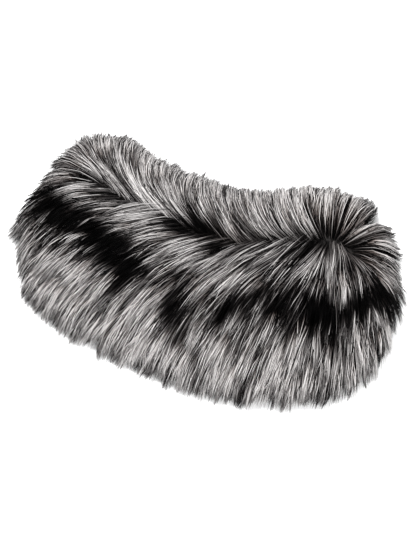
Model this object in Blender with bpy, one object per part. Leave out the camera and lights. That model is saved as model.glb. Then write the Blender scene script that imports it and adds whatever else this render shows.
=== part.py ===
"""Fur collar wrap, laid flat with its fur side up, in metres.

Two pelt panels meet at a parting seam that runs along the collar. The long side of the collar lies
along X and the neck edge is on the +Y side. The hair leaves the seam on both sides and hangs past
the edge of the leather all round. Each panel is a thin flat wall of leather with one plain solid of
its fur's reach lying on it. The origin is on the resting surface, under the middle of the collar.
"""

import math
from typing import NamedTuple

import bmesh
import bpy
import numpy as np

LEATHER_WALL = 0.002
SEAM_GAP = 0.0003
LAYER_GAP = 0.0003
FUR_OVERHANG = 0.052  # how far the hair hangs past the cut edge of the leather

RAYS_PER_ROW = 4  # lines of lay drawn for each row of the table
FUR_STEPS = 9  # spaces along one line of lay, from the parting to the tips
LEATHER_STEPS = 4

BEND_AT = 0.5  # how far out a line of lay keeps its first heading, of its length
TIP_CROWDING = 0.35  # how much closer the points lie near the tips, where the pile rolls over
CREST_AT = 0.36  # where the pile is highest, from the parting (0) to the tips (1)
FALL_POWER = 2.3
FALL_ROUNDING = 0.72
UNDERCUT = 0.085  # how far the fur draws in under its rim, of one line of lay
LOCK_DEPTH = 0.055  # how deep the furrow between two locks is, of the pile's height
LOCK_REACH = 0.018  # how far a furrow stops short of the locks' tips, of one line of lay
SMOOTH_ANGLE = math.radians(50)


class Lay(NamedTuple):
    """One row of the collar's lay: the hair's path on both sides of one point of the parting.

    The hair leaves the parting at a heading in degrees, counter-clockwise from +X, and bends to
    its tips. Headings run on past 0 and 360 down a column, so that they never jump. The heights are those of the parting's furrow and of the pile's crest beside it.
    """

    root_x: float
    root_y: float
    neck_heading: float
    neck_x: float
    neck_y: float
    outer_heading: float
    outer_x: float
    outer_y: float
    furrow_z: float
    crest_z: float


# From the left end to the right end, where the last five rows fan out from the gathered pucker.
LAYS = (
    Lay(-0.168, 0.068, 195, -0.255, 0.016, 195, -0.255, 0.016, 0.040, 0.052),
    Lay(-0.160, 0.066, 142, -0.237, 0.103, 193, -0.257, 0.000, 0.040, 0.056),
    Lay(-0.145, 0.062, 132, -0.195, 0.149, 190, -0.255, -0.016, 0.041, 0.060),
    Lay(-0.120, 0.058, 128, -0.153, 0.157, 188, -0.249, -0.040, 0.043, 0.063),
    Lay(-0.087, 0.053, 132, -0.120, 0.143, 192, -0.231, -0.080, 0.044, 0.065),
    Lay(-0.050, 0.044, 138, -0.085, 0.135, 200, -0.200, -0.116, 0.044, 0.066),
    Lay(-0.011, 0.039, 145, -0.051, 0.131, 208, -0.153, -0.137, 0.044, 0.066),
    Lay(0.028, 0.042, 150, -0.020, 0.130, 215, -0.106, -0.148, 0.044, 0.066),
    Lay(0.063, 0.053, 155, 0.010, 0.131, 219, -0.058, -0.156, 0.045, 0.067),
    Lay(0.093, 0.062, 158, 0.040, 0.137, 224, -0.010, -0.163, 0.045, 0.069),
    Lay(0.119, 0.071, 156, 0.070, 0.149, 234, 0.042, -0.167, 0.042, 0.070),
    Lay(0.136, 0.078, 140, 0.100, 0.161, 250, 0.093, -0.163, 0.038, 0.070),
    Lay(0.145, 0.080, 112, 0.130, 0.167, 268, 0.141, -0.152, 0.036, 0.069),
    Lay(0.145, 0.080, 82, 0.162, 0.164, 285, 0.189, -0.134, 0.036, 0.067),
    Lay(0.145, 0.080, 52, 0.195, 0.148, 304, 0.232, -0.090, 0.036, 0.065),
    Lay(0.145, 0.080, 25, 0.229, 0.113, 328, 0.257, -0.020, 0.036, 0.062),
    Lay(0.145, 0.080, -6, 0.250, 0.063, 354, 0.250, 0.063, 0.036, 0.058),
)


class Side(NamedTuple):
    """Which side of the parting a panel lies on, and how high its tips are above the surface."""

    name: str
    sign: int
    tip_z: float


NECK = Side("neck", 1, 0.019)
OUTER = Side("outer", -1, 0.007)
END_TIP_Z = 0.012  # height of the tips at both ends of the seam, shared by the two sides


def eased_slopes(values):
    """Slopes of a smooth curve through evenly spaced values that never swings past them."""
    steps = np.diff(values)
    before, after = steps[:-1], steps[1:]
    product = before * after
    total = np.where(product > 0, before + after, 1)
    inner = np.where(product > 0, 2 * product / total, 0)
    return np.concatenate([steps[:1], inner, steps[-1:]])


def table_columns(side):
    """The rows of LAYS as columns: root, heading, tip, furrow and crest of one side."""
    lay = [f"{side.name}_{what}" for what in ("heading", "x", "y")]
    names = ["root_x", "root_y", *lay, "furrow_z", "crest_z"]
    return np.array([[getattr(row, name) for name in names] for row in LAYS])


def at_station(columns, station):
    """The table's columns at a place between two rows, where row n is station n."""
    row = min(int(station), len(columns) - 2)
    part = station - row
    slopes = np.column_stack([eased_slopes(column) for column in columns.T])
    rise = columns[row + 1] - columns[row]
    start = part * (1 - part) ** 2 * (slopes[row] - rise)
    end = part**2 * (1 - part) * (rise - slopes[row + 1])
    return columns[row] + part * rise + start + end


class Ray:
    """One line of lay, from the parting to the tips, in plan and in height."""

    def __init__(self, side, columns, station, furrowed):
        values = at_station(columns, station)
        last = len(LAYS) - 1
        self.root = values[0:2]
        self.tip = values[3:5]
        turn = math.radians(values[2])
        self.length = float(np.hypot(*(self.tip - self.root)))
        leave = np.array([math.cos(turn), math.sin(turn)])
        self.bend = self.root + BEND_AT * self.length * leave
        self.furrow_z, self.crest_z = values[5:7]
        middle = math.sqrt(max(math.sin(math.pi * station / last), 0))
        self.tip_z = END_TIP_Z + (side.tip_z - END_TIP_Z) * middle
        self.furrowed = furrowed

    def plan(self, part):
        """The point at this part of the line, seen from above."""
        far = 1 - part
        return far * far * self.root + 2 * far * part * self.bend + part * part * self.tip

    def heading(self, part):
        """The unit direction of the line at this part of it."""
        step = (1 - part) * (self.bend - self.root) + part * (self.tip - self.bend)
        return step / np.hypot(*step)

    def height(self, part):
        """The top of the pile at this part of the line."""
        if part < CREST_AT:
            rise = math.sin(0.5 * math.pi * part / CREST_AT)
            height = self.furrow_z + (self.crest_z - self.furrow_z) * rise
        else:
            gone = (part - CREST_AT) / (1 - CREST_AT)
            fall = (1 - gone**FALL_POWER) ** FALL_ROUNDING
            height = self.tip_z + (self.crest_z - self.tip_z) * fall
        return height * (1 - LOCK_DEPTH * part) if self.furrowed else height


def rays_of(side):
    """All lines of lay of one side, from the left end to the right end."""
    columns = table_columns(side)
    count = (len(LAYS) - 1) * RAYS_PER_ROW
    return [Ray(side, columns, i / RAYS_PER_ROW, i % 2 == 1) for i in range(count + 1)]


def seam_headings(rays):
    """The seam's direction at each root. The rays of the pucker share the last one."""
    headings = []
    for i, ray in enumerate(rays):
        ahead = rays[min(i + 1, len(rays) - 1)].root
        step = ahead - ray.root
        length = np.hypot(*step)
        headings.append(step / length if length > 1e-6 else headings[-1])
    return headings


def seam_offset(side, direction):
    """Half of the seam's gap, square to the seam and towards this side's panel."""
    return 0.5 * SEAM_GAP * side.sign * np.array([-direction[1], direction[0]])


def seam_shift(side, rays, headings, index, part):
    """How far a point moves to keep the seam's gap. Only points on the seam move."""
    if part == 0:
        return seam_offset(side, headings[index])
    if index == 0:
        return seam_offset(side, -rays[index].heading(part))
    if index == len(rays) - 1:
        return seam_offset(side, rays[index].heading(part))
    return np.zeros(2)


def sheet_solid(name, columns, rows, place):
    """A closed solid from a grid that is extruded once and then laid out by a function.

    place takes a column, a part of the way along it and whether the point is on the upper face,
    and gives the point.
    """
    mesh = bpy.data.meshes.new(name)
    bm = bmesh.new()
    bmesh.ops.create_grid(bm, x_segments=columns, y_segments=rows, size=0.5)
    column_layer = bm.verts.layers.float.new("column")
    part_layer = bm.verts.layers.float.new("part")
    for vert in bm.verts:
        vert[column_layer] = (vert.co.x + 0.5) * columns
        vert[part_layer] = (vert.co.y + 0.5) * rows
    raised = bmesh.ops.extrude_face_region(bm, geom=bm.faces[:])["geom"]
    upper = {vert for vert in raised if isinstance(vert, bmesh.types.BMVert)}
    for vert in bm.verts:
        part = round(vert[part_layer]) / rows
        vert.co = place(round(vert[column_layer]), part, vert in upper)
    bmesh.ops.remove_doubles(bm, verts=bm.verts[:], dist=1e-6)
    bmesh.ops.recalc_face_normals(bm, faces=bm.faces[:])
    bm.verts.layers.float.remove(bm.verts.layers.float["column"])
    bm.verts.layers.float.remove(bm.verts.layers.float["part"])
    bm.to_mesh(mesh)
    bm.free()
    mesh.shade_smooth()
    mesh.set_sharp_from_angle(angle=SMOOTH_ANGLE)
    solid = bpy.data.objects.new(name, mesh)
    bpy.context.scene.collection.objects.link(solid)
    return solid


def leather_panel(side, rays):
    """The cut leather of one side: a flat wall from the seam to its edge inside the fur."""
    headings = seam_headings(rays)

    def place(index, part, is_upper):
        ray = rays[index]
        along = part * (1 - FUR_OVERHANG / ray.length)
        x, y = ray.plan(along) + seam_shift(side, rays, headings, index, part)
        return x, y, LEATHER_WALL if is_upper else 0.0

    return sheet_solid(f"pelt_{side.name}_panel", len(rays) - 1, LEATHER_STEPS, place)


def fur_panel(side, rays):
    """The reach of one side's fur: a mound over the leather that ends in pointed locks."""
    headings = seam_headings(rays)
    floor = LEATHER_WALL + LAYER_GAP

    def place(index, part, is_upper):
        ray = rays[index]
        reach = 1 - LOCK_REACH if ray.furrowed else 1
        if not is_upper:
            reach -= UNDERCUT
        along = part * (1 + TIP_CROWDING * (1 - part))
        x, y = ray.plan(along * reach) + seam_shift(side, rays, headings, index, part)
        return x, y, max(ray.height(along), ray.tip_z) if is_upper else floor

    return sheet_solid(f"fur_{side.name}_panel", len(rays) - 1, FUR_STEPS, place)


def finish(name, colour, roughness):
    """A plain material with one colour."""
    material = bpy.data.materials.new(name)
    material.use_nodes = True
    shader = material.node_tree.nodes["Principled BSDF"]
    shader.inputs["Base Color"].default_value = (*colour, 1)
    shader.inputs["Roughness"].default_value = roughness
    shader.inputs["Metallic"].default_value = 0.0
    return material


def main():
    """Clears the scene and builds the two leather panels and their fur."""
    for old in list(bpy.data.objects):
        bpy.data.objects.remove(old)
    leather = finish("leather", (0.52, 0.42, 0.33), 0.75)
    silver = finish("silver_fur", (0.20, 0.19, 0.19), 0.6)
    for side in (NECK, OUTER):
        rays = rays_of(side)
        leather_panel(side, rays).data.materials.append(leather)
        fur_panel(side, rays).data.materials.append(silver)


main()
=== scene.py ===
"""Looks of the fur collar wrap: long silver guard hair over dark underfur, on two suede panels.

The collar lies flat on a pale surface with its fur side up. All lengths are in metres, in the
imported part's frame: +X along the collar, +Y towards the neck edge, +Z up.
"""

import logging
import math
from dataclasses import dataclass
from enum import Enum
from typing import Callable, NamedTuple

import bmesh
import bpy
import numpy as np
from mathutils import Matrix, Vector
from mathutils.kdtree import KDTree

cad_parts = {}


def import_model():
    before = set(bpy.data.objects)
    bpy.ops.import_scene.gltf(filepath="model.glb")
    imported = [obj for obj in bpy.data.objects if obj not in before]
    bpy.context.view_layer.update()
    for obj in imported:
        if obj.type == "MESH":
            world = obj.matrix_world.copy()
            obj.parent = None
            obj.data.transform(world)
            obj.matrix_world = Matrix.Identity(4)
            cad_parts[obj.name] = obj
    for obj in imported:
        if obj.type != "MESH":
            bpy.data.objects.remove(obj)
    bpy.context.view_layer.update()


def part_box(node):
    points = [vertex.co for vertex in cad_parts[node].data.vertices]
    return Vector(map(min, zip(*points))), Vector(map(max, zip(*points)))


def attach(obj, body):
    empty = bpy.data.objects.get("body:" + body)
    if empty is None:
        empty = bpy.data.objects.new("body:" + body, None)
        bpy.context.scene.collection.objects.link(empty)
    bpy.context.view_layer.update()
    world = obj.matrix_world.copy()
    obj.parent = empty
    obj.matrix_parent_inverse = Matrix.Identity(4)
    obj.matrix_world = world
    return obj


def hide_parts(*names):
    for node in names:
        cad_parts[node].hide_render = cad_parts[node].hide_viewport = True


LOG = logging.getLogger("fur_collar_wrap")
BODY = "root"
MAP_NAME = "OFBake"  # the pieces' own map: across it the tone, up it the way from root to tip


class Side(Enum):
    """The two sides of the parting seam."""

    NECK = "neck"
    OUTER = "outer"


class Lay(NamedTuple):
    """One row of the lay: the hair's path on both sides of one point of the parting.

    The hair leaves the parting at a heading in degrees, counter-clockwise from +X, and bends to
    its tips. Headings run on past 0 and 360 down a column, so that they never jump. The last two
    are for the hair alone: how many degrees the neck side's hair leans back along the parting
    before it turns outwards, and how much of the furrow is filled with hair.
    """

    root_x: float
    root_y: float
    neck_heading: float
    neck_x: float
    neck_y: float
    outer_heading: float
    outer_x: float
    outer_y: float
    furrow_z: float
    crest_z: float
    lean: float
    fill: float


# From the left end to the right end, where the last five rows fan out from the gathered pucker.
LAYS = (
    Lay(-0.168, 0.068, 195, -0.255, 0.016, 195, -0.255, 0.016, 0.040, 0.052, 0, 0.70),
    Lay(-0.160, 0.066, 142, -0.237, 0.103, 193, -0.257, 0.000, 0.040, 0.056, 10, 0.90),
    Lay(-0.145, 0.062, 132, -0.195, 0.149, 190, -0.255, -0.016, 0.041, 0.060, 20, 1.00),
    Lay(-0.120, 0.058, 128, -0.153, 0.157, 188, -0.249, -0.040, 0.043, 0.063, 28, 1.00),
    Lay(-0.087, 0.053, 132, -0.120, 0.143, 192, -0.231, -0.080, 0.044, 0.065, 28, 1.00),
    Lay(-0.050, 0.044, 138, -0.085, 0.135, 200, -0.200, -0.116, 0.044, 0.066, 26, 0.90),
    Lay(-0.011, 0.039, 145, -0.051, 0.131, 208, -0.153, -0.137, 0.044, 0.066, 18, 0.45),
    Lay(0.028, 0.042, 150, -0.020, 0.130, 215, -0.106, -0.148, 0.044, 0.066, 10, 0.40),
    Lay(0.063, 0.053, 155, 0.010, 0.131, 219, -0.058, -0.156, 0.045, 0.067, 6, 0.70),
    Lay(0.093, 0.062, 158, 0.040, 0.137, 224, -0.010, -0.163, 0.045, 0.069, 4, 0.80),
    Lay(0.119, 0.071, 156, 0.070, 0.149, 234, 0.042, -0.167, 0.042, 0.070, 0, 0.80),
    Lay(0.134, 0.076, 140, 0.100, 0.161, 250, 0.093, -0.163, 0.038, 0.070, 0, 0.60),
    Lay(0.144, 0.079, 112, 0.130, 0.167, 268, 0.141, -0.152, 0.036, 0.069, 0, 0.50),
    Lay(0.151, 0.080, 82, 0.162, 0.164, 285, 0.189, -0.134, 0.036, 0.067, 0, 0.50),
    Lay(0.157, 0.080, 52, 0.195, 0.148, 304, 0.232, -0.090, 0.036, 0.065, 0, 0.50),
    Lay(0.162, 0.079, 25, 0.229, 0.113, 328, 0.257, -0.020, 0.036, 0.062, 0, 0.50),
    Lay(0.166, 0.077, -6, 0.250, 0.063, 354, 0.250, 0.063, 0.036, 0.058, 0, 0.50),
)


class Notch(NamedTuple):
    """A narrow wedge between two lobes of hair, seen from the pucker.

    Along its middle the hair ends at the near distance, and at its sides at the far one.
    """

    x: float
    y: float
    angle: float
    half_angle: float
    near: float
    far: float
    least_kept: float


NOTCH = Notch(x=0.145, y=0.080, angle=50, half_angle=11, near=0.040, far=0.104, least_kept=0.1)


class Mark(NamedTuple):
    """A soft-edged patch of darker or paler hair, lying along an angle in degrees."""

    x: float
    y: float
    half_length: float
    half_width: float
    angle: float
    depth: float


DARK_MARKS_AND_SHADE = (
    Mark(-0.232, 0.026, 0.044, 0.026, -20, 0.78),
    Mark(-0.192, 0.000, 0.048, 0.028, -15, 0.96),
    Mark(-0.145, -0.014, 0.046, 0.026, -15, 1.00),
    Mark(-0.105, -0.033, 0.038, 0.021, -30, 0.95),
    Mark(-0.098, -0.066, 0.026, 0.012, 70, 0.75),
    Mark(-0.072, -0.033, 0.026, 0.013, -25, 0.65),
    Mark(-0.020, -0.070, 0.034, 0.015, 80, 0.85),
    Mark(-0.004, -0.092, 0.026, 0.010, 85, 0.50),
    Mark(0.046, -0.062, 0.030, 0.013, 72, 0.80),
    Mark(0.076, -0.028, 0.034, 0.015, 30, 0.85),
    Mark(0.070, -0.064, 0.024, 0.010, 75, 0.45),
    Mark(0.105, -0.036, 0.026, 0.015, 70, 0.70),
    Mark(0.122, -0.046, 0.026, 0.010, -78, 0.55),
    Mark(0.150, -0.010, 0.028, 0.020, -20, 1.00),
    Mark(0.164, -0.030, 0.034, 0.021, -50, 1.00),
    Mark(0.196, -0.034, 0.030, 0.011, -58, 0.45),
    Mark(0.205, -0.002, 0.028, 0.020, 30, 0.95),
    Mark(0.236, 0.024, 0.030, 0.023, 30, 0.90),
    Mark(-0.027, 0.044, 0.036, 0.014, 5, 1.00),
    Mark(0.004, 0.021, 0.024, 0.010, 50, 0.75),
    Mark(-0.022, 0.030, 0.020, 0.009, 15, 0.60),
    Mark(0.038, 0.030, 0.020, 0.007, 60, 0.35),
    # The next two marks darken the hair along the parting and at the pucker: painted shade of the
    # parting's furrow, not the pelt's pattern.
    Mark(0.100, 0.060, 0.050, 0.009, 12, 0.50),
    Mark(0.145, 0.080, 0.022, 0.009, 0, 0.50),
    Mark(-0.205, 0.110, 0.046, 0.026, 50, 0.20),
    Mark(0.176, 0.060, 0.018, 0.010, -60, 0.45),
    # This mark darkens the pit at the parting's left end: painted shade.
    Mark(-0.170, 0.068, 0.015, 0.012, -40, 0.95),
    Mark(0.105, -0.095, 0.024, 0.010, 88, 0.30),
)
PALE_MARKS = (
    Mark(-0.100, 0.090, 0.050, 0.022, 140, 0.10),
    Mark(0.025, 0.004, 0.034, 0.009, 55, 0.05),
    Mark(-0.070, 0.020, 0.060, 0.018, 5, 0.08),
    Mark(0.106, 0.032, 0.026, 0.012, 50, 0.10),
    Mark(-0.078, 0.056, 0.040, 0.012, -5, 0.12),
    Mark(0.020, 0.050, 0.020, 0.007, 0, 0.10),
    Mark(0.145, 0.110, 0.035, 0.024, 90, 0.12),
    Mark(0.198, 0.078, 0.036, 0.022, 20, 0.16),
    Mark(0.030, -0.125, 0.150, 0.032, 0, 0.09),
    Mark(-0.150, -0.105, 0.070, 0.030, -35, 0.10),
    Mark(0.243, -0.040, 0.045, 0.022, 70, 0.16),
    Mark(0.230, 0.075, 0.035, 0.022, 0, 0.10),
)


def eased_columns(columns: np.ndarray, stations: np.ndarray) -> np.ndarray:
    """Reads a table between its rows, on smooth curves that never swing past them.

    Args:
        columns: The table, a row for each whole station.
        stations: Places along the table, where row n is station n.

    Returns:
        A row of values for each station.
    """
    steps = np.diff(columns, axis=0)
    before, after = steps[:-1], steps[1:]
    product = before * after
    total = np.where(product > 0, before + after, 1.0)
    inner = np.where(product > 0, 2 * product / total, 0.0)
    slopes = np.vstack([steps[:1], inner, steps[-1:]])
    row = np.clip(stations.astype(int), 0, len(columns) - 2)
    part = (stations - row)[:, None]
    rise = steps[row]
    start = part * (1 - part) ** 2 * (slopes[row] - rise)
    end = part**2 * (1 - part) * (rise - slopes[row + 1])
    return columns[row] + part * rise + start + end


@dataclass(frozen=True)
class MoundShape:
    """How the mound rises from the parting and falls to the tips, along one line of lay."""

    crest_at: float = 0.36
    fall_power: float = 2.3
    fall_rounding: float = 0.72
    skin_power: float = 1.6
    bend_at: float = 0.5
    end_tip_z: float = 0.012
    neck_tip_z: float = 0.019
    outer_tip_z: float = 0.007
    pile: float = 0.019
    furrow_pile: float = 0.30
    skin_edge_z: float = 0.0015
    fur_overhang: float = 0.052


class LaySurface:
    """One side of the mound, as grids over the station along the parting and the part of a ray.

    Each grid point has a place in plan, the heading of the hair there, the height of the pile's
    top and the height of the layer that the hair grows from.
    """

    PER_ROW = 24
    PER_RAY = 64
    REACH = 1.25  # the grids run on past the tips, for the hair that sticks out
    WALK_STEPS = 12
    LEAN_FADE = 0.75

    def __init__(self, side: Side, shape: MoundShape) -> None:
        """Works out the grids.

        Args:
            side: The side of the parting.
            shape: The mound's profile.
        """
        self.side = side
        self.shape = shape
        self.last = float(len(LAYS) - 1)
        lay = [f"{side.value}_{what}" for what in ("heading", "x", "y")]
        names = ["root_x", "root_y", *lay, "furrow_z", "crest_z", "lean", "fill"]
        table = np.array([[getattr(row, name) for name in names] for row in LAYS], float)
        self.stations = np.linspace(0, self.last, (len(LAYS) - 1) * self.PER_ROW + 1)
        self.parts = np.arange(0, self.REACH + 1e-9, 1 / self.PER_RAY)
        values = eased_columns(table, self.stations)
        self.plan, self.heading = self._paths(values)
        self.top, self.skin = self._heights(values)
        self.filled = values[:, 8]
        self.lean = np.radians(values[:, 7]) if side is Side.NECK else 0 * values[:, 7]
        self.along = np.gradient(self.plan, 1 / self.PER_ROW, axis=0)
        self.out = np.gradient(self.plan, 1 / self.PER_RAY, axis=1)
        inside = self.plan[:, : self.PER_RAY + 1]
        steps = np.linalg.norm(np.diff(inside, axis=1), axis=2)
        self.length = steps.sum(axis=1)
        self.root_limit = 1 - shape.fur_overhang / self.length

    def _paths(self, values: np.ndarray) -> tuple[np.ndarray, np.ndarray]:
        """The plan of every ray, a bent line that runs on straight past its tip.

        Args:
            values: The table's columns at every station.

        Returns:
            The points and the unit headings, each (stations, parts, 2).
        """
        root, tip = values[:, None, 0:2], values[:, None, 3:5]
        turn = np.radians(values[:, 2])
        leave = np.stack([np.cos(turn), np.sin(turn)], axis=1)[:, None]
        chord = np.linalg.norm(tip - root, axis=2, keepdims=True)
        bend = root + self.shape.bend_at * chord * leave
        part = np.minimum(self.parts, 1)[None, :, None]
        beyond = np.maximum(self.parts - 1, 0)[None, :, None]
        curve = (1 - part) ** 2 * root + 2 * part * (1 - part) * bend + part**2 * tip
        speed = 2 * (1 - part) * (bend - root) + 2 * part * (tip - bend)
        heading = speed / np.linalg.norm(speed, axis=2, keepdims=True)
        return curve + beyond * chord * heading, heading

    def _heights(self, values: np.ndarray) -> tuple[np.ndarray, np.ndarray]:
        """The heights of the pile's top and of the layer that it grows from.

        Args:
            values: The table's columns at every station.

        Returns:
            The two grids of heights.
        """
        s = self.shape
        crest = values[:, None, 6]
        furrow = values[:, None, 5] + values[:, None, 8] * (crest - values[:, None, 5])
        middle = np.sqrt(np.maximum(np.sin(math.pi * self.stations / self.last), 0))[:, None]
        side_tip = s.neck_tip_z if self.side is Side.NECK else s.outer_tip_z
        tip = s.end_tip_z + (side_tip - s.end_tip_z) * middle
        part = self.parts[None, :]
        climb = np.sin(0.5 * math.pi * np.minimum(part / s.crest_at, 1))
        gone = np.clip((part - s.crest_at) / (1 - s.crest_at), 0, 1)
        fall = (1 - gone**s.fall_power) ** s.fall_rounding
        beyond = np.maximum(part - 1, 0) / (self.REACH - 1)
        low = part < s.crest_at
        top = np.where(low, furrow + (crest - furrow) * climb, tip + (crest - tip) * fall)
        top = top * (1 - 0.5 * beyond)
        depth = s.pile * (s.furrow_pile + (1 - s.furrow_pile) * climb)
        drop = (crest - s.pile - s.skin_edge_z) * (1 - gone**s.skin_power)
        skin = np.where(low, top - depth, s.skin_edge_z + drop)
        return top, np.minimum(skin, top - 0.001)

    def walk(self, station: np.ndarray, part: np.ndarray, length: np.ndarray) -> tuple:
        """Follows the lay from each root for a length in plan.

        Args:
            station: The roots' stations.
            part: The roots' parts of their rays.
            length: How far to go.

        Returns:
            The stations and parts passed, each (hairs, WALK_STEPS + 1).
        """
        stations, parts = [station], [part]
        stride = (length / self.WALK_STEPS)[:, None]
        for _ in range(self.WALK_STEPS):
            heading = self.read(self.heading, station, part)
            lean = np.interp(station, self.stations, self.lean)
            lean = lean * np.clip(1 - part / self.LEAN_FADE, 0, 1)
            sine, cosine = np.sin(lean), np.cos(lean)
            step = stride * np.stack(
                [
                    cosine * heading[:, 0] - sine * heading[:, 1],
                    sine * heading[:, 0] + cosine * heading[:, 1],
                ],
                axis=1,
            )
            along = self.read(self.along, station, part)
            out = self.read(self.out, station, part)
            area = along[:, 0] * out[:, 1] - along[:, 1] * out[:, 0]
            aside = step[:, 0] * out[:, 1] - step[:, 1] * out[:, 0]
            moved = aside * area / (area**2 + 1e-8)
            rest = step - moved[:, None] * along
            station = np.clip(station + moved, 0, self.last)
            part = part + (rest * out).sum(axis=1) / (out**2).sum(axis=1)
            stations.append(station)
            parts.append(part)
        return np.stack(stations, axis=1), np.stack(parts, axis=1)

    def read(self, grid: np.ndarray, station: np.ndarray, part: np.ndarray) -> np.ndarray:
        """Reads a grid between its points.

        Args:
            grid: One of this surface's grids.
            station: Places along the parting.
            part: Parts of the ray there.

        Returns:
            The grid's values at those places.
        """
        i = np.clip(station * self.PER_ROW, 0, grid.shape[0] - 1.001)
        j = np.clip(part * self.PER_RAY, 0, grid.shape[1] - 1.001)
        low_i, low_j = i.astype(int), j.astype(int)
        fi, fj = i - low_i, j - low_j
        if grid.ndim == 3:
            fi, fj = fi[..., None], fj[..., None]
        first = grid[low_i, low_j] * (1 - fj) + grid[low_i, low_j + 1] * fj
        second = grid[low_i + 1, low_j] * (1 - fj) + grid[low_i + 1, low_j + 1] * fj
        return first * (1 - fi) + second * fi

    def ray_length(self, station: np.ndarray) -> np.ndarray:
        """The plan length of the ray at each station."""
        return np.interp(station, self.stations, self.length)

    def rim_limit(self, station: np.ndarray, inside: np.ndarray) -> np.ndarray:
        """The part of each ray that lies this far inside its tip."""
        return 1 - inside / self.ray_length(station)

    def scatter(
        self, count: int, inside: float, edge_bias: float, rng: np.random.Generator
    ) -> tuple[np.ndarray, np.ndarray]:
        """Draws root places evenly over the mound.

        Args:
            count: How many.
            inside: How far inside the rim the last roots are.
            edge_bias: How much denser they are at the last roots than at the parting.
            rng: The random draw.

        Returns:
            The stations and parts of the roots.
        """
        cells = self.plan[:, : self.PER_RAY + 1]
        along = cells[1:, :-1] - cells[:-1, :-1]
        out = cells[:-1, 1:] - cells[:-1, :-1]
        area = np.abs(along[..., 0] * out[..., 1] - along[..., 1] * out[..., 0])
        limit = self.rim_limit(self.stations[:-1], np.array(inside))
        share = self.parts[: self.PER_RAY][None, :] / limit[:, None]
        weight = area * (share < 1) * (1 + edge_bias * share)
        chosen = rng.choice(weight.size, size=count, p=(weight / weight.sum()).ravel())
        row, column = np.divmod(chosen, weight.shape[1])
        station = (row + rng.random(count)) / self.PER_ROW
        part = (column + rng.random(count)) / self.PER_RAY
        return station, part


class Markings:
    """The pelt's own pattern of dark and pale hair, seen from above, with painted shade on the
    parting.
    """

    PLAIN = 0.64
    EDGE_POWER = 1.4  # above 1, a mark is flatter inside and falls off faster at its edge

    @classmethod
    def _weight(cls, mark: Mark, place: np.ndarray) -> np.ndarray:
        """How strongly a mark covers each place.

        Args:
            mark: The mark.
            place: Places in plan.

        Returns:
            The shares, from 0 to 1.
        """
        turn = math.radians(mark.angle)
        dx, dy = place[..., 0] - mark.x, place[..., 1] - mark.y
        along = (dx * math.cos(turn) + dy * math.sin(turn)) / mark.half_length
        across = (dy * math.cos(turn) - dx * math.sin(turn)) / mark.half_width
        return np.exp(-((along**2 + across**2) ** cls.EDGE_POWER))

    def tone(self, place: np.ndarray) -> np.ndarray:
        """The hair's tone at each place.

        Args:
            place: Places in plan.

        Returns:
            The tones, from 0, black, to 1, white.
        """
        tone = np.full(place.shape[:-1], self.PLAIN)
        for mark in PALE_MARKS:
            tone += mark.depth * self._weight(mark, place)
        dark = np.ones_like(tone)
        for mark in DARK_MARKS_AND_SHADE:
            dark *= 1 - mark.depth * self._weight(mark, place)
        return tone * dark


@dataclass(frozen=True)
class Coat:
    """One kind of hair: its size, how it stands in the pile and how it gathers into locks."""

    name: str
    neck_hairs: int
    outer_hairs: int
    rings: int
    shortest: float
    longest: float
    thickness: float
    lowest: float
    highest: float
    lock_hairs: int
    tuft_hairs: int
    lock_pull: float
    tuft_pull: float
    tone_shift: float
    tone_spread: float
    rise: float
    inside: float
    edge_bias: float
    stray_share: float
    silver_share: float
    droop: float = 0.85
    droop_within: float = 0.018


GUARD_HAIR = Coat(
    name="guard_hair",
    neck_hairs=14500,
    outer_hairs=24000,
    rings=4,
    shortest=0.052,
    longest=0.076,
    thickness=0.00078,
    lowest=0.15,
    highest=1.05,
    lock_hairs=60,
    tuft_hairs=8,
    lock_pull=0.45,
    tuft_pull=0.70,
    tone_shift=0.0,
    tone_spread=1.0,
    rise=3.2,
    inside=0.042,
    edge_bias=0.8,
    stray_share=0.04,
    silver_share=0.07,
)
UNDERFUR = Coat(
    name="underfur",
    neck_hairs=3000,
    outer_hairs=5000,
    rings=3,
    shortest=0.026,
    longest=0.040,
    thickness=0.0012,
    lowest=-0.30,
    highest=0.55,
    lock_hairs=30,
    tuft_hairs=8,
    lock_pull=0.35,
    tuft_pull=0.5,
    tone_shift=-0.14,
    tone_spread=0.6,
    rise=2.0,
    inside=0.034,
    edge_bias=2.5,
    stray_share=0.04,
    silver_share=0.0,
)


@dataclass
class Strands:
    """Hairs as centre lines: places and level side directions, thickness and map places."""

    centre: np.ndarray
    side: np.ndarray
    radius: np.ndarray
    place: np.ndarray
    station: np.ndarray

    def chosen(self, keep: np.ndarray) -> "Strands":
        """Only the hairs that are marked to keep."""
        parts = (self.centre, self.side, self.radius, self.place, self.station)
        return Strands(*[part[keep] for part in parts])


def leaders(middle: np.ndarray, group: int, rng: np.random.Generator) -> np.ndarray:
    """Picks leading hairs at random, and gives every hair the nearest one.

    Args:
        middle: The hairs' middles in plan.
        group: How many hairs follow one leader, on average.
        rng: The random draw.

    Returns:
        The index of each hair's leader.
    """
    chosen = rng.choice(len(middle), size=max(1, len(middle) // group), replace=False)
    tree = KDTree(len(chosen))
    for index in chosen:
        tree.insert((middle[index, 0], middle[index, 1], 0.0), int(index))
    tree.balance()
    return np.array([tree.find((x, y, 0.0))[1] for x, y in middle])


class Spread(NamedTuple):
    """How much a value varies from lock to lock, from tuft to tuft and from hair to hair."""

    lock: float
    tuft: float
    hair: float = 0.0


@dataclass
class Draw:
    """What is drawn at random for each hair: its root, its group and how it lies."""

    station: np.ndarray
    part: np.ndarray
    lock: np.ndarray
    tuft: np.ndarray
    stray: np.ndarray
    silver: np.ndarray
    edge: np.ndarray
    length: np.ndarray
    turn: np.ndarray
    wave: np.ndarray
    sway: np.ndarray
    layer: np.ndarray
    inside: np.ndarray


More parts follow.
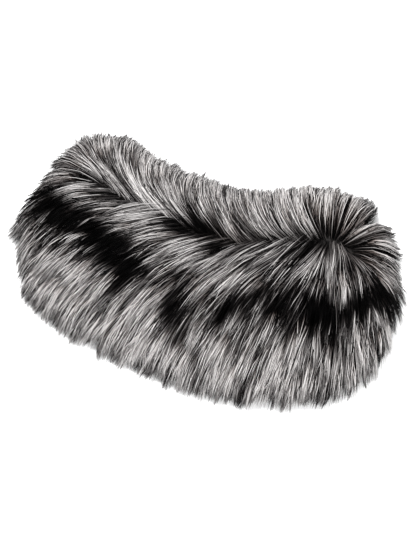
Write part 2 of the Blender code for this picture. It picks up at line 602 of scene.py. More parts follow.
class HairGrower:
    """Grows one coat of hair on one side of the collar. Turns are in degrees."""

    LOCK_REACH = 1.6  # a lock's edge, in median distances from its leader
    EDGE_MOST = 1.25
    EDGE_SINK = 0.22
    EDGE_SHADE = 0.9
    LENGTHS = Spread(0.07, 0.04)
    TURNS = Spread(3.4, 3.5)
    STRAY_TURN, SILVER_TURN, OWN_TURN = 10, 5, 3
    CLOSING_TURN = (-2, 13)
    END_WIDTH = 0.8  # how many stations of each end close over the line where both sides meet
    WAVE = 0.5
    WAVE_RUN = 4.4
    SWAY = (0.0004, 0.0020)
    LAYERS = Spread(0.08, 0.05)
    SILVER_LAYER = (0.95, 1.12)
    INSIDES = Spread(0.0022, 0.0040, 0.0040)
    SPACING = 0.95  # below 1, the rings are a little closer towards the tip
    SHIFT_POWER = 1.25
    CROSSING = 0.014  # how far a root reaches over the parting
    CROSSING_PART = 0.12
    CROSSING_LIFT = 0.35
    PUCKER_FROM = 10.3
    PUCKER_LOSS = 0.7
    GATHER_POWER = 1.5
    LOOSE_SHARE = 0.3  # the share of a lock's pull that stray and silver hairs feel
    LOWEST = 0.0012
    THICKNESSES = (0.65, 1.35)
    TAPER = ((0, 0.2, 0.55, 0.85, 1), (0.6, 0.9, 1.0, 0.7, 0.3))
    SILVER_GAIN = 0.24
    BARE = 0.70  # how much of the dark root is left out where the furrow is filled
    BARE_PART = 0.16
    STREAKS = Spread(0.009, 0.006, 0.004)
    OWN_TONES = Spread(0.10, 0.15, 0.16)
    # Hairs lower in the pile are darkened: painted shade deep in the pile.
    LAYER_TONE, LAYER_MIDDLE = 0.28, 0.35
    DARK_SHARE, DARK_DROP = 0.26, 0.34
    TONE_LEAST, TONE_MARKED = 0.14, 1.2
    LEAST_KEPT = 0.25  # the least share of its length that a hair keeps at the rim
    NECK_TRIM = ((12.8, 13.8, 14.8), (-0.0035, -0.016, -0.003))
    OUTER_TRIM = (
        (3, 6, 10, 11.5, 13, 14.3, 15.5),
        (-0.004, 0.004, 0.005, 0.011, 0.009, -0.004, 0.001),
    )

    def __init__(self, surface: LaySurface, coat: Coat, markings: Markings, seed: int) -> None:
        """Keeps what the hair follows.

        Args:
            surface: The mound that the hair lies over.
            coat: The kind of hair.
            markings: The pelt's pattern, with the painted shade on its parting.
            seed: The seed of the random draw.
        """
        self.surface = surface
        self.coat = coat
        self.markings = markings
        self.rng = np.random.default_rng(seed)
        self.is_neck = surface.side is Side.NECK

    def grow(self) -> Strands:
        """Grows the hairs.

        Returns:
            The hairs' centre lines.
        """
        draw = self._draw()
        along = np.linspace(0, 1, self.coat.rings + 1)[None, :] ** self.SPACING
        centre, heading, level = self._lines(draw, along)
        for leader, pull in ((draw.tuft, self.coat.tuft_pull), (draw.lock, self.coat.lock_pull)):
            held = np.where(draw.stray | draw.silver, self.LOOSE_SHARE * pull, pull)
            held = held[:, None] * along**self.GATHER_POWER
            centre = centre + held[..., None] * (centre[leader] - centre)
        if self.is_neck:
            centre = self._notched(centre)
        centre[..., 2] = np.maximum(centre[..., 2], self.LOWEST)

        size = 0.5 * self.coat.thickness * self.rng.uniform(*self.THICKNESSES, len(centre))
        radius = size[:, None] * np.interp(along[0, :-1], *self.TAPER)[None, :]
        side = np.concatenate([level, np.zeros_like(level[..., :1])], axis=2)
        tone = self._tone(draw, centre[..., :2], heading)
        tone = np.clip(tone + self.SILVER_GAIN * draw.silver[:, None] * tone, 0.01, 0.98)
        filled = np.interp(draw.station, self.surface.stations, self.surface.filled)
        bare = (self.BARE * filled * np.exp(-((draw.part / self.BARE_PART) ** 2)))[:, None]
        place = np.stack([tone, 0.02 + 0.96 * (bare + (1 - bare) * along)], axis=2)
        return Strands(centre, side, radius, place, draw.station[draw.lock])

    def _draw(self) -> Draw:
        """Draws the roots, the groups and the hairs' own ways of lying.

        Returns:
            What is drawn.
        """
        coat, surface, rng = self.coat, self.surface, self.rng
        count = coat.neck_hairs if self.is_neck else coat.outer_hairs
        station, part = surface.scatter(count, coat.inside, coat.edge_bias, rng)
        middle = surface.read(surface.plan, station, part)
        middle = middle + 0.5 * coat.shortest * surface.read(surface.heading, station, part)
        lock = leaders(middle, coat.lock_hairs, rng)
        tuft = leaders(middle, coat.tuft_hairs, rng)
        stray = rng.random(count) < coat.stray_share
        silver = rng.random(count) < coat.silver_share
        reach = np.linalg.norm(middle - middle[lock], axis=1)
        edge = np.clip(reach / (self.LOCK_REACH * np.median(reach)), 0, self.EDGE_MOST) ** 2

        length = rng.uniform(coat.shortest, coat.longest, count)
        length *= 1 + self._varied(self.LENGTHS, lock, tuft)
        turn = self._varied(self.TURNS, lock, tuft)
        own_turn = np.where(silver, self.SILVER_TURN, self.OWN_TURN)
        turn += rng.normal(0, np.where(stray, self.STRAY_TURN, own_turn), count)
        turn += self._closing(station) * rng.uniform(*self.CLOSING_TURN, count)
        wave = rng.uniform(0, 2 * math.pi, count)[lock] + rng.normal(0, self.WAVE, count)
        sway = rng.uniform(*self.SWAY, count)[lock]
        layer = rng.uniform(coat.lowest, coat.highest, count)
        layer += self._varied(self.LAYERS, lock, tuft)
        layer = np.minimum(layer - self.EDGE_SINK * edge, self.SILVER_LAYER[1])
        layer = np.where(silver, rng.uniform(*self.SILVER_LAYER, count), layer)
        inside = self._varied(self.INSIDES, lock, tuft) + self._trim(station)
        return Draw(
            station, part, lock, tuft, stray, silver, edge, length, turn, wave, sway, layer, inside
        )

    def _varied(self, spread: Spread, lock: np.ndarray, tuft: np.ndarray) -> np.ndarray:
        """Draws a value for each hair that it shares in part with its lock and its tuft.

        Args:
            spread: How much the value varies.
            lock: Each hair's lock leader.
            tuft: Each hair's tuft leader.

        Returns:
            The values, around 0.
        """
        values = self.rng.normal(0, spread.lock, len(lock))[lock]
        values += self.rng.normal(0, spread.tuft, len(lock))[tuft]
        if spread.hair:
            values += self.rng.normal(0, spread.hair, len(lock))
        return values

    def _lines(self, draw: Draw, along: np.ndarray) -> tuple[np.ndarray, np.ndarray, np.ndarray]:
        """The centre lines as the hairs lie on their own, before they gather.

        Args:
            draw: What is drawn for each hair.
            along: The parts of a hair that have a point.

        Returns:
            The points, each (hairs, points, 3), with the lay's heading and level side there.
        """
        coat, surface, rng = self.coat, self.surface, self.rng
        stations, parts, share = self._paths(draw, along)
        length = draw.length * share
        heading = surface.read(surface.heading, stations, parts)
        level = np.stack([-heading[..., 1], heading[..., 0]], axis=-1)
        shift = np.tan(np.radians(draw.turn))[:, None] * length[:, None] * along**self.SHIFT_POWER
        wave = draw.wave[:, None]
        shift += draw.sway[:, None] * (np.sin(wave + self.WAVE_RUN * along) - np.sin(wave))
        plan = surface.read(surface.plan, stations, parts) + level * shift[..., None]
        cross = rng.uniform(0, self.CROSSING, len(length))
        cross *= np.exp(-((draw.part / self.CROSSING_PART) ** 2))
        cross *= 1 - self.PUCKER_LOSS * np.clip(draw.station - self.PUCKER_FROM, 0, 1)
        cross = cross[:, None] * (1 - along) ** 2
        plan = plan - heading[:, :1] * cross[..., None]
        top = surface.read(surface.top, stations, parts)
        skin = surface.read(surface.skin, stations, parts)
        climb = 1 - (1 - along) ** coat.rise
        rim = surface.rim_limit(stations, np.zeros_like(parts)) - parts
        close = np.clip(1 - rim * surface.ray_length(stations) / coat.droop_within, 0, 1)
        droop = coat.droop * rng.random(len(length))[:, None] ** 2 * close**1.5
        height = skin + (top - skin) * climb * draw.layer[:, None] + self.CROSSING_LIFT * cross
        height = height * (1 - droop)
        return np.concatenate([plan, height[..., None]], axis=2), heading, level

    def _trim(self, station: np.ndarray) -> np.ndarray:
        """How far inside the rim the hair ends on average.

        Args:
            station: Places along the parting.

        Returns:
            The distances, below 0 where the hair ends past the rim.
        """
        return np.interp(station, *(self.NECK_TRIM if self.is_neck else self.OUTER_TRIM))

    @staticmethod
    def _notched(centre: np.ndarray) -> np.ndarray:
        """Shortens the hair that would end inside the notch.

        Args:
            centre: The hairs' centre lines.

        Returns:
            The same lines, drawn back towards their roots there.
        """
        off = centre[..., :2] - np.array([NOTCH.x, NOTCH.y])
        root, tip = np.linalg.norm(off[:, 0], axis=1), np.linalg.norm(off[:, -1], axis=1)
        turn = np.abs(np.degrees(np.arctan2(off[:, -1, 1], off[:, -1, 0])) - NOTCH.angle)
        edge = NOTCH.near + (NOTCH.far - NOTCH.near) * turn / NOTCH.half_angle
        keep = np.clip((edge - root) / np.maximum(tip - root, 1e-6), NOTCH.least_kept, 1)
        keep = np.where(turn < NOTCH.half_angle, keep, 1)
        return centre[:, :1] + keep[:, None, None] * (centre - centre[:, :1])

    def _closing(self, station: np.ndarray) -> np.ndarray:
        """How far the hair at the two ends turns over the line where both sides meet.

        Args:
            station: Places along the parting.

        Returns:
            The shares of the whole turn, above 0 where it is counter-clockwise.
        """
        right = np.clip((station - self.surface.last + self.END_WIDTH) / self.END_WIDTH, 0, 1)
        left = np.clip((self.END_WIDTH - station) / self.END_WIDTH, 0, 1)
        return (right - left) * (-1 if self.is_neck else 1)

    def _paths(self, draw: Draw, along: np.ndarray) -> tuple[np.ndarray, np.ndarray, np.ndarray]:
        """The way of each hair over the surface, cut off near the rim.

        Args:
            draw: What is drawn for each hair.
            along: The parts of a hair to give.

        Returns:
            The stations and parts there, and the share of its length that each hair keeps.
        """
        surface = self.surface
        stations, parts = surface.walk(draw.station, draw.part, draw.length)
        steps = surface.WALK_STEPS
        limit = surface.rim_limit(stations[:, -1], draw.inside)
        over = parts > limit[:, None]
        first = np.where(over.any(axis=1), over.argmax(axis=1), steps)
        row = np.arange(len(limit))
        before = np.maximum(first - 1, 0)
        low, high = parts[row, before], parts[row, first]
        cut = np.clip((limit - low) / np.maximum(high - low, 1e-6), 0, 1)
        share = np.where(over.any(axis=1), (before + cut) / steps, 1.0)
        share = np.maximum(share, self.LEAST_KEPT)
        at = along * share[:, None] * steps
        step = np.minimum(at.astype(int), steps - 1)
        part_way = at - step
        line = row[:, None]
        stations = stations[line, step] * (1 - part_way) + stations[line, step + 1] * part_way
        parts = parts[line, step] * (1 - part_way) + parts[line, step + 1] * part_way
        return stations, parts, share

    def _tone(self, draw: Draw, place: np.ndarray, heading: np.ndarray) -> np.ndarray:
        """The tone of each hair along its length.

        The pelt's marks are read a little up or down the lay, by a step of each lock's and
        hair's own, so that their edges end in streaks.

        Args:
            draw: What is drawn for each hair.
            place: The hairs' points in plan.
            heading: The hair's heading at each.

        Returns:
            The tones, from 0 to 1.
        """
        rng, count = self.rng, len(place)
        step = self._varied(self.STREAKS, draw.lock, draw.tuft)
        read = self.markings.tone(place + heading * step[:, None, None])
        own = self._varied(self.OWN_TONES, draw.lock, draw.tuft)
        # Hairs at a lock's edge and lower in the pile are darkened: painted shade between locks
        # and deep in the pile.
        layer = draw.layer - self.EDGE_SHADE * draw.edge
        own += self.LAYER_TONE * (layer - self.LAYER_MIDDLE)
        own -= np.where(rng.random(count) < self.DARK_SHARE, self.DARK_DROP, 0)
        own = self.coat.tone_spread * own[:, None] * (self.TONE_LEAST + self.TONE_MARKED * read)
        return np.clip(read + self.coat.tone_shift + own, 0.01, 0.97)


def shown(name: str, data: bpy.types.ID) -> bpy.types.Object:
    """Puts a mesh, a light or a camera into the scene.

    Args:
        name: The object's name.
        data: What it shows.

    Returns:
        The object.
    """
    thing = bpy.data.objects.new(name, data)
    bpy.context.scene.collection.objects.link(thing)
    return thing


def stand_in(piece: bpy.types.Object, node: str) -> None:
    """Lets a piece ride the collar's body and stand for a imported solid.

    Args:
        piece: The piece.
        node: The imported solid's node.
    """
    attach(piece, BODY)
    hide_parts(node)


def strand_mesh(name: str, strands: Strands) -> bpy.types.Object:
    """Makes one joined mesh of closed three-sided hairs that taper to a point.

    Args:
        name: The piece's name.
        strands: The hairs.

    Returns:
        The piece, with each hair's tone and length on its own map.
    """
    count, spots = strands.centre.shape[:2]
    rings = spots - 1
    run = np.gradient(strands.centre, axis=1)
    run /= np.maximum(np.linalg.norm(run, axis=2, keepdims=True), 1e-9)
    side = strands.side - (strands.side * run).sum(axis=2, keepdims=True) * run
    side /= np.maximum(np.linalg.norm(side, axis=2, keepdims=True), 1e-9)
    up = np.cross(run, side)
    corner = np.radians([90, 210, 330])
    spoke = (
        np.cos(corner)[None, None, :, None] * side[:, :rings, None]
        + np.sin(corner)[None, None, :, None] * up[:, :rings, None]
    )
    ring = strands.centre[:, :rings, None] + strands.radius[:, :, None, None] * spoke
    points = np.concatenate([ring.reshape(count, rings * 3, 3), strands.centre[:, -1:]], axis=1)
    spread = np.array([-0.008, 0.0, 0.008])
    ring_map = np.repeat(strands.place[:, :rings, None], 3, axis=2)
    ring_map[..., 0] += spread
    places = np.concatenate([ring_map.reshape(count, rings * 3, 2), strands.place[:, -1:]], axis=1)

    quads = []
    for k in range(rings - 1):
        for j in range(3):
            n = (j + 1) % 3
            quads.append((3 * k + j, 3 * k + n, 3 * k + 3 + n, 3 * k + 3 + j))
    last = 3 * (rings - 1)
    ends = [(last + j, last + (j + 1) % 3, 3 * rings) for j in range(3)] + [(2, 1, 0)]
    pattern = np.concatenate([np.ravel(quads), np.ravel(ends)])
    sizes = np.array([4] * len(quads) + [3] * len(ends))
    each = 3 * rings + 1
    corners = (np.arange(count)[:, None] * each + pattern[None, :]).ravel()
    starts = np.concatenate([[0], np.cumsum(np.tile(sizes, count))[:-1]])

    mesh = bpy.data.meshes.new(name)
    mesh.vertices.add(count * each)
    mesh.vertices.foreach_set("co", points.astype(np.float32).ravel())
    mesh.loops.add(len(corners))
    mesh.loops.foreach_set("vertex_index", corners.astype(np.int32))
    mesh.polygons.add(len(starts))
    mesh.polygons.foreach_set("loop_start", starts.astype(np.int32))
    mesh.update(calc_edges=True)
    own_map = mesh.uv_layers.new(name=MAP_NAME)
    flat = places.reshape(-1, 2)[corners]
    own_map.uv.foreach_set("vector", flat.astype(np.float32).ravel())
    mesh.shade_smooth()
    return shown(name, mesh)


def sheet_solid(
    name: str, columns: int, rows: int, place: Callable[[float, float, bool], Vector]
) -> bpy.types.Object:
    """A closed solid from a grid that is extruded once and then laid out by a function.

    Args:
        name: The piece's name.
        columns: Spaces along the parting.
        rows: Spaces from the parting outwards.
        place: Takes a share of the columns, a share of the rows and whether the point is on the
            upper face, and gives the point.

    Returns:
        The piece, with the two shares as its own map.
    """
    mesh = bpy.data.meshes.new(name)
    bm = bmesh.new()
    bmesh.ops.create_grid(bm, x_segments=columns, y_segments=rows, size=0.5)
    shares = bm.verts.layers.float_vector.new("shares")
    for vert in bm.verts:
        vert[shares] = (vert.co.x + 0.5, vert.co.y + 0.5, 0)
    raised = bmesh.ops.extrude_face_region(bm, geom=bm.faces[:])["geom"]
    upper = {vert for vert in raised if isinstance(vert, bmesh.types.BMVert)}
    layer = bm.loops.layers.uv.new(MAP_NAME)
    for vert in bm.verts:
        across, out = vert[shares][0], vert[shares][1]
        vert.co = place(across, out, vert in upper)
        for loop in vert.link_loops:
            loop[layer].uv = (across, out)
    bmesh.ops.remove_doubles(bm, verts=bm.verts[:], dist=1e-6)
    bmesh.ops.recalc_face_normals(bm, faces=bm.faces[:])
    bm.verts.layers.float_vector.remove(bm.verts.layers.float_vector["shares"])
    bm.to_mesh(mesh)
    bm.free()
    mesh.shade_smooth()
    return shown(name, mesh)


@dataclass
class NodeDesk:
    """Places and links the nodes of one node tree."""

    tree: bpy.types.NodeTree

    def add(self, kind: str, **settings: object) -> bpy.types.Node:
        """Adds a node.

        Args:
            kind: The node's type.
            settings: What is set on it, by name.

        Returns:
            The node.
        """
        node = self.tree.nodes.new(kind)
        for key, value in settings.items():
            setattr(node, key, value)
        return node

    def link(self, source: bpy.types.NodeSocket, target: bpy.types.NodeSocket) -> None:
        """Links an output to an input."""
        self.tree.links.new(source, target)

    def ramp(self, source: bpy.types.NodeSocket, stops: tuple) -> bpy.types.NodeSocket:
        """Reads a value through a colour ramp.

        Args:
            source: The value's output.
            stops: Pairs of a position and an (r, g, b) colour, or a plain grey.

        Returns:
            The colour's output.
        """
        node = self.add("ShaderNodeValToRGB")
        ramp = node.color_ramp
        while len(ramp.elements) < len(stops):
            ramp.elements.new(0.5)
        for element, (position, colour) in zip(ramp.elements, stops):
            element.position = position
            rgb = (colour,) * 3 if isinstance(colour, float) else colour
            element.color = (*rgb, 1)
        self.link(source, node.inputs["Fac"])
        return node.outputs["Color"]

    def noise(
        self, source: bpy.types.NodeSocket, scale: float, detail: float
    ) -> bpy.types.NodeSocket:
        """Reads a noise.

        Args:
            source: The coordinates' output.
            scale: How many waves a unit holds.
            detail: How many finer layers it adds.

        Returns:
            The value's output.
        """
        node = self.add("ShaderNodeTexNoise")
        node.inputs["Scale"].default_value = scale
        node.inputs["Detail"].default_value = detail
        self.link(source, node.inputs["Vector"])
        return node.outputs["Fac"]

    def multiply(
        self, first: bpy.types.NodeSocket, second: bpy.types.NodeSocket
    ) -> bpy.types.NodeSocket:
        """Multiplies two colours.

        Args:
            first: One colour's output.
            second: The other's.

        Returns:
            The product's output.
        """
        node = self.add("ShaderNodeMix", data_type="RGBA", blend_type="MULTIPLY")
        node.inputs["Factor"].default_value = 1.0
        self.link(first, node.inputs["A"])
        self.link(second, node.inputs["B"])
        return node.outputs["Result"]

    def bump(self, height: bpy.types.NodeSocket, distance: float) -> bpy.types.NodeSocket:
        """Turns a height into a normal.

        Args:
            height: The height's output, from 0 to 1.
            distance: How deep a height of 1 is, in metres.

        Returns:
            The normal's output.
        """
        node = self.add("ShaderNodeBump")
        node.inputs["Strength"].default_value = 0.5
        node.inputs["Distance"].default_value = distance
        self.link(height, node.inputs["Height"])
        return node.outputs["Normal"]

    def placed(
        self, group: bpy.types.NodeTree, place: bpy.types.NodeSocket, **values: object
    ) -> bpy.types.Node:
        """Places a shared group.

        Args:
            group: The group.
            place: The coordinates that it reads.
            values: Its other inputs' own values, by name.

        Returns:
            The group's node.
        """
        node = self.add("ShaderNodeGroup", node_tree=group)
        self.link(place, node.inputs["Place"])
        for label, value in values.items():
            node.inputs[label].default_value = value
        return node


class EffectGroup:
    """A shader node group that several materials share, with named inputs and outputs."""

    def __init__(self, name: str, **inputs: str) -> None:
        """Starts the group.

        Args:
            name: The group's name.
            inputs: Its inputs' socket types, by name.
        """
        self.tree = bpy.data.node_groups.new(name, "ShaderNodeTree")
        for label, kind in inputs.items():
            self.tree.interface.new_socket(label, in_out="INPUT", socket_type=kind)
        self.desk = NodeDesk(self.tree)
        self.given = self.desk.add("NodeGroupInput").outputs

    def close(self, **outputs: bpy.types.NodeSocket) -> bpy.types.NodeTree:
        """Gives the group its outputs.

        Args:
            outputs: What each puts out, by name.

        Returns:
            The finished group.
        """
        for label, source in outputs.items():
            kind = "NodeSocketColor" if source.type == "RGBA" else "NodeSocketFloat"
            self.tree.interface.new_socket(label, in_out="OUTPUT", socket_type=kind)
        leave = self.desk.add("NodeGroupOutput")
        for label, source in outputs.items():
            self.desk.link(source, leave.inputs[label])
        return self.tree


@dataclass(frozen=True)
class FibreGrain:
    """The fine grain of fibres: its value, and how it shades a colour."""

    detail: float = 3.0
    dim: tuple = (0.88, 0.87, 0.87)
    full: tuple = (1.0, 0.995, 0.985)

    def make(self) -> bpy.types.NodeTree:
        """Makes the group, which reads coordinates stretched by three numbers.

        Returns:
            The group.
        """
        group = EffectGroup("fibre_grain", Place="NodeSocketVector", Stretch="NodeSocketVector")
        stretched = group.desk.add("ShaderNodeVectorMath", operation="MULTIPLY")
        group.desk.link(group.given["Place"], stretched.inputs[0])
        group.desk.link(group.given["Stretch"], stretched.inputs[1])
        grain = group.desk.noise(stretched.outputs["Vector"], 1.0, self.detail)
        shade = group.desk.ramp(grain, ((0.30, self.dim), (0.70, self.full)))
        return group.close(Grain=grain, Shade=shade)


@dataclass(frozen=True)
class HairShade:
    """Silver hair's tones from black to white, darker and warmer towards the roots."""

    TONES = (
        (0.00, (0.0012, 0.0011, 0.0012)),
        (0.20, (0.0024, 0.0022, 0.0022)),
        (0.38, (0.020, 0.018, 0.018)),
        (0.55, (0.130, 0.122, 0.121)),
        (0.72, (0.320, 0.308, 0.306)),
        (1.00, (0.720, 0.705, 0.700)),
    )
    # Darker towards the roots: the hair's own dark base, and also painted shade deep in the pile.
    ROOTS = (
        (0.00, (0.10, 0.075, 0.065)),
        (0.22, (0.34, 0.29, 0.27)),
        (0.45, (0.82, 0.80, 0.79)),
        (0.62, (1.0, 1.0, 1.0)),
        (0.86, (1.0, 1.0, 1.0)),
        (1.00, (0.80, 0.78, 0.78)),
    )

    def make(self) -> bpy.types.NodeTree:
        """Makes the group, which reads the hair's tone and length on its own map.

        Returns:
            The group.
        """
        group = EffectGroup("hair_shade", Place="NodeSocketVector", Brightness="NodeSocketFloat")
        split = group.desk.add("ShaderNodeSeparateXYZ")
        group.desk.link(group.given["Place"], split.inputs["Vector"])
        tone = group.desk.ramp(split.outputs["X"], self.TONES)
        along = group.desk.ramp(split.outputs["Y"], self.ROOTS)
        dimmed = group.desk.add("ShaderNodeHueSaturation")
        group.desk.link(group.desk.multiply(tone, along), dimmed.inputs["Color"])
        group.desk.link(group.given["Brightness"], dimmed.inputs["Value"])
        return group.close(Colour=dimmed.outputs["Color"], Along=split.outputs["Y"])


@dataclass(frozen=True)
class Effects:
    """The shared groups, built once."""

    grain: bpy.types.NodeTree
    hair: bpy.types.NodeTree

    @classmethod
    def make(cls) -> "Effects":
        """Makes both groups."""
        return cls(FibreGrain().make(), HairShade().make())


def fresh_material(name: str) -> tuple[bpy.types.Material, NodeDesk, bpy.types.Node]:
    """Starts a material.

    Args:
        name: The material's name.

    Returns:
        The material, the desk of its tree and its Principled shader.
    """
    material = bpy.data.materials.new(name)
    material.use_nodes = True
    return material, NodeDesk(material.node_tree), material.node_tree.nodes["Principled BSDF"]


@dataclass(frozen=True)
class FurFinish:
    """Silver hair, with its grain along the strand."""

    name: str
    brightness: float
    roughness: float
    stretch: tuple = (90.0, 2.0, 1.0)
    relief: float = 0.00005

    def make(self, effects: Effects) -> bpy.types.Material:
        """Makes the material, on the piece's own map.

        Args:
            effects: The shared groups.

        Returns:
            The material.
        """
        material, desk, shader = fresh_material(self.name)
        own_map = desk.add("ShaderNodeUVMap", uv_map=MAP_NAME).outputs["UV"]
        hair = desk.placed(effects.hair, own_map, Brightness=self.brightness)
        grain = desk.placed(effects.grain, own_map, Stretch=self.stretch)
        body = desk.multiply(hair.outputs["Colour"], grain.outputs["Shade"])
        desk.link(body, shader.inputs["Base Color"])
        gloss = desk.ramp(hair.outputs["Along"], ((0.0, 0.75), (1.0, self.roughness)))
        desk.link(gloss, shader.inputs["Roughness"])
        desk.link(desk.bump(grain.outputs["Grain"], self.relief), shader.inputs["Normal"])
        shader.inputs["Specular IOR Level"].default_value = 0.02
        return material


@dataclass(frozen=True)
class SuedeFinish:
    """The dressed flesh side of the pelt: matt, pale and slightly mottled."""

    name: str = "suede"
    stretch: tuple = (900.0, 900.0, 900.0)
    relief: float = 0.0004

    def make(self, effects: Effects) -> bpy.types.Material:
        """Makes the material, on the piece's Object coordinates.

        Args:
            effects: The shared groups.

        Returns:
            The material.
        """
        material, desk, shader = fresh_material(self.name)
        place = desk.add("ShaderNodeTexCoord").outputs["Object"]
        grain = desk.placed(effects.grain, place, Stretch=self.stretch)
        cloud = desk.noise(place, 18.0, 4.0)
        mottle = desk.ramp(cloud, ((0.3, (0.47, 0.37, 0.28)), (0.7, (0.60, 0.50, 0.39))))
        desk.link(desk.multiply(mottle, grain.outputs["Shade"]), shader.inputs["Base Color"])
        rough = desk.ramp(grain.outputs["Grain"], ((0.2, 0.80), (0.8, 0.95)))
        desk.link(rough, shader.inputs["Roughness"])
        desk.link(desk.bump(grain.outputs["Grain"], self.relief), shader.inputs["Normal"])
        shader.inputs["Sheen Weight"].default_value = 0.25
        return material


@dataclass(frozen=True)
class WoolFinish:
    """The felted base of the underfur, streaked along the lay."""

    name: str = "underfur_base"
    stretch: tuple = (420.0, 7.0, 1.0)
    relief: float = 0.001

    def make(self, effects: Effects) -> bpy.types.Material:
        """Makes the material, on the piece's own map.

        Args:
            effects: The shared groups.

        Returns:
            The material.
        """
        material, desk, shader = fresh_material(self.name)
        own_map = desk.add("ShaderNodeUVMap", uv_map=MAP_NAME).outputs["UV"]
        grain = desk.placed(effects.grain, own_map, Stretch=self.stretch)
        streak = grain.outputs["Grain"]
        colour = desk.ramp(streak, ((0.3, (0.006, 0.005, 0.005)), (0.75, (0.040, 0.035, 0.033))))
        desk.link(desk.multiply(colour, grain.outputs["Shade"]), shader.inputs["Base Color"])
        rough = desk.ramp(streak, ((0.2, 0.95), (0.8, 0.75)))
        desk.link(rough, shader.inputs["Roughness"])
        desk.link(desk.bump(streak, self.relief), shader.inputs["Normal"])
        return material


@dataclass
class PeltPanel:
    """One leather panel, a thin flat wall from the parting seam to its cut edge."""

    surface: LaySurface
    columns: int = 96
    rows: int = 4

    def point(self, across: float, out: float, height: float) -> Vector:
        """Finds a point of the panel.

        Args:
            across: Its share of the way along the parting.
            out: Its share of the way to the cut edge.
            height: Its height.

        Returns:
            The point.
        """
        surface = self.surface
        station = np.array([across * surface.last])
        limit = float(np.interp(station[0], surface.stations, surface.root_limit))
        x, y = surface.read(surface.plan, station, np.array([out * limit]))[0]
        return Vector((x, y, height))

    def build(self) -> bpy.types.Object:
        """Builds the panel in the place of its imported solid.

        Returns:
            The panel.
        """
        side = self.surface.side.value
        node = f"pelt_{side}_panel"
        low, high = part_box(node)
        panel = sheet_solid(
            f"leather_{side}_panel",
            self.columns,
            self.rows,
            lambda across, out, is_upper: self.point(across, out, high[2] if is_upper else low[2]),
        )
        stand_in(panel, node)
        return panel


@dataclass
class PileBase:
    """The felted underfur that the hair stands in, a closed mound inside the pile."""

    surface: LaySurface
    inside: float = 0.036
    sink: float = 0.0015
    floor: float = 0.0026
    thinnest: float = 0.0008
    columns: int = 96
    rows: int = 14

    def point(self, across: float, out: float, is_upper: bool) -> Vector:
        """Finds a point of the mound.

        Args:
            across: Its share of the way along the parting.
            out: Its share of the way to the mound's foot.
            is_upper: Whether it is on the upper face.

        Returns:
            The point.
        """
        surface = self.surface
        station = np.array([across * surface.last])
        part = out * surface.rim_limit(station, self.inside)
        x, y = surface.read(surface.plan, station, part)[0]
        z = float(surface.read(surface.skin, station, part)[0]) - self.sink
        return Vector((x, y, max(z, self.floor + self.thinnest) if is_upper else self.floor))

    def build(self) -> bpy.types.Object:
        """Builds the mound.

        Returns:
            The mound, which stands for the side's packed fur solid.
        """
        side = self.surface.side.value
        base = sheet_solid(f"underfur_base_{side}", self.columns, self.rows, self.point)
        stand_in(base, f"fur_{side}_panel")
        return base


@dataclass
class FurSide:
    """All hair on one side of the parting, in pieces that run along the collar."""

    surface: LaySurface
    markings: Markings
    seed: int

    ZONES = {Side.NECK: ("left", "right"), Side.OUTER: ("left", "middle", "right")}

    def build(self, coat: Coat, zoned: bool) -> list[bpy.types.Object]:
        """Grows one coat and makes its pieces.

        Args:
            coat: The kind of hair.
            zoned: Whether the coat is split into pieces along the collar.

        Returns:
            The pieces.
        """
        side = self.surface.side
        strands = HairGrower(self.surface, coat, self.markings, self.seed).grow()
        zones = self.ZONES[side] if zoned else ("",)
        bounds = np.quantile(strands.station, np.linspace(0, 1, len(zones) + 1))
        pieces = []
        for number, zone in enumerate(zones):
            keep = np.searchsorted(bounds[1:-1], strands.station, side="right") == number
            name = "_".join(filter(None, (coat.name, side.value, zone)))
            piece = strand_mesh(name, strands.chosen(keep))
            stand_in(piece, f"fur_{side.value}_panel")
            pieces.append(piece)
        return pieces


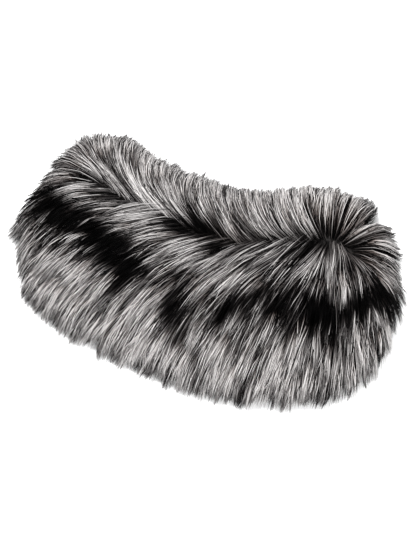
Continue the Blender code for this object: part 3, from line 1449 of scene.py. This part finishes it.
@dataclass(frozen=True)
class Studio:
    """The pale floor, the soft lights and the camera."""

    view_azimuth: float = 17.6
    view_elevation: float = 68.0
    view_distance: float = 2.405
    lens: float = 120.0
    aim_right: float = 0.0040
    aim_up: float = 0.0006
    floor_size: float = 12.0

    def floor(self) -> bpy.types.Object:
        """Lays the floor just under the collar.

        Returns:
            The floor.
        """
        mesh = bpy.data.meshes.new("floor")
        bm = bmesh.new()
        bmesh.ops.create_grid(bm, x_segments=1, y_segments=1, size=self.floor_size / 2)
        bmesh.ops.translate(bm, verts=bm.verts[:], vec=(0, 0, -0.0004))
        bm.to_mesh(mesh)
        bm.free()
        floor = shown("floor", mesh)
        material, desk, shader = fresh_material("floor_paper")
        place = desk.add("ShaderNodeTexCoord").outputs["Object"]
        tint = desk.ramp(desk.noise(place, 300.0, 2.0), ((0.3, 0.95), (0.7, 0.97)))
        desk.link(tint, shader.inputs["Base Color"])
        shader.inputs["Roughness"].default_value = 0.9
        shader.inputs["Specular IOR Level"].default_value = 0.1
        mesh.materials.append(material)
        return floor

    def light(self, name: str, place: tuple, size: float, power: float) -> None:
        """Hangs one square soft light that faces the collar.

        Args:
            name: The light's name.
            place: Where it hangs.
            size: Its side.
            power: Its power in watts.
        """
        lamp = bpy.data.lights.new(name, "AREA")
        lamp.shape = "SQUARE"
        lamp.size = size
        lamp.energy = power
        holder = shown(name, lamp)
        holder.location = place
        holder.rotation_mode = "QUATERNION"
        holder.rotation_quaternion = (-Vector(place)).to_track_quat("-Z", "Y")

    def lights(self) -> None:
        """Hangs the lights and sets the white surroundings."""
        self.light("key_light", (-0.8, 0.5, 2.3), 0.9, 102.0)
        self.light("fill_light", (1.2, -1.3, 1.9), 1.6, 47.0)
        world = bpy.data.worlds.new("studio_white")
        world.use_nodes = True
        world.node_tree.nodes["Background"].inputs["Color"].default_value = (1, 1, 1, 1)
        world.node_tree.nodes["Background"].inputs["Strength"].default_value = 0.82
        bpy.context.scene.world = world

    def camera(self) -> None:
        """Sets the camera and the way that colours are shown."""
        turn, lift = math.radians(self.view_azimuth), math.radians(self.view_elevation)
        level = math.cos(lift)
        back = Vector((math.sin(turn) * level, -math.cos(turn) * level, math.sin(lift)))
        right = Vector((math.cos(turn), math.sin(turn), 0))
        aim = right * self.aim_right + back.cross(right) * self.aim_up
        camera = bpy.data.cameras.new("camera")
        camera.lens = self.lens
        holder = shown("camera", camera)
        holder.location = aim + back * self.view_distance
        holder.rotation_mode = "QUATERNION"
        holder.rotation_quaternion = back.to_track_quat("Z", "Y")
        bpy.context.scene.camera = holder
        bpy.context.scene.view_settings.view_transform = "Standard"
        bpy.context.scene.view_settings.look = "None"

    def build(self) -> None:
        """Builds the whole studio."""
        self.floor()
        self.lights()
        self.camera()


@dataclass
class FurCollarWrap:
    """The whole collar: leather, underfur and guard hair on both sides of the parting."""

    markings: Markings
    shape: MoundShape

    SEEDS = {Side.NECK: 11, Side.OUTER: 23}

    def build(self) -> None:
        effects = Effects.make()
        suede = SuedeFinish().make(effects)
        wool = WoolFinish().make(effects)
        silver = FurFinish("silver_guard_hair", brightness=1.0, roughness=0.42).make(effects)
        dusky = FurFinish("dusky_underfur", brightness=0.55, roughness=0.65).make(effects)
        for side in Side:
            surface = LaySurface(side, self.shape)
            panel = PeltPanel(surface).build()
            panel.data.materials.append(suede)
            base = PileBase(surface).build()
            base.data.materials.append(wool)
            fur = FurSide(surface, self.markings, self.SEEDS[side])
            under = fur.build(UNDERFUR, zoned=False)
            guard = fur.build(GUARD_HAIR, zoned=True)
            for piece in under:
                piece.data.materials.append(dusky)
            for piece in guard:
                piece.data.materials.append(silver)
            self.declare(panel, [base, *under, *guard])
            for piece in [panel, base, *under, *guard]:
                piece.data.calc_loop_triangles()
                LOG.info("%s: %d triangles", piece.name, len(piece.data.loop_triangles))

    @staticmethod
    def declare(panel: bpy.types.Object, pile: list[bpy.types.Object]) -> None:
        """Does nothing with a leather panel and the fur that stands on it.

        Args:
            panel: The leather; not used.
            pile: The pieces of fur that stand on it; not used.
        """


def main() -> None:
    """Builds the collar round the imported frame, then the studio."""
    logging.basicConfig(level=logging.INFO, format="%(name)s: %(message)s")
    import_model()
    FurCollarWrap(Markings(), MoundShape()).build()
    Studio().build()


if __name__ == "__main__":
    main()
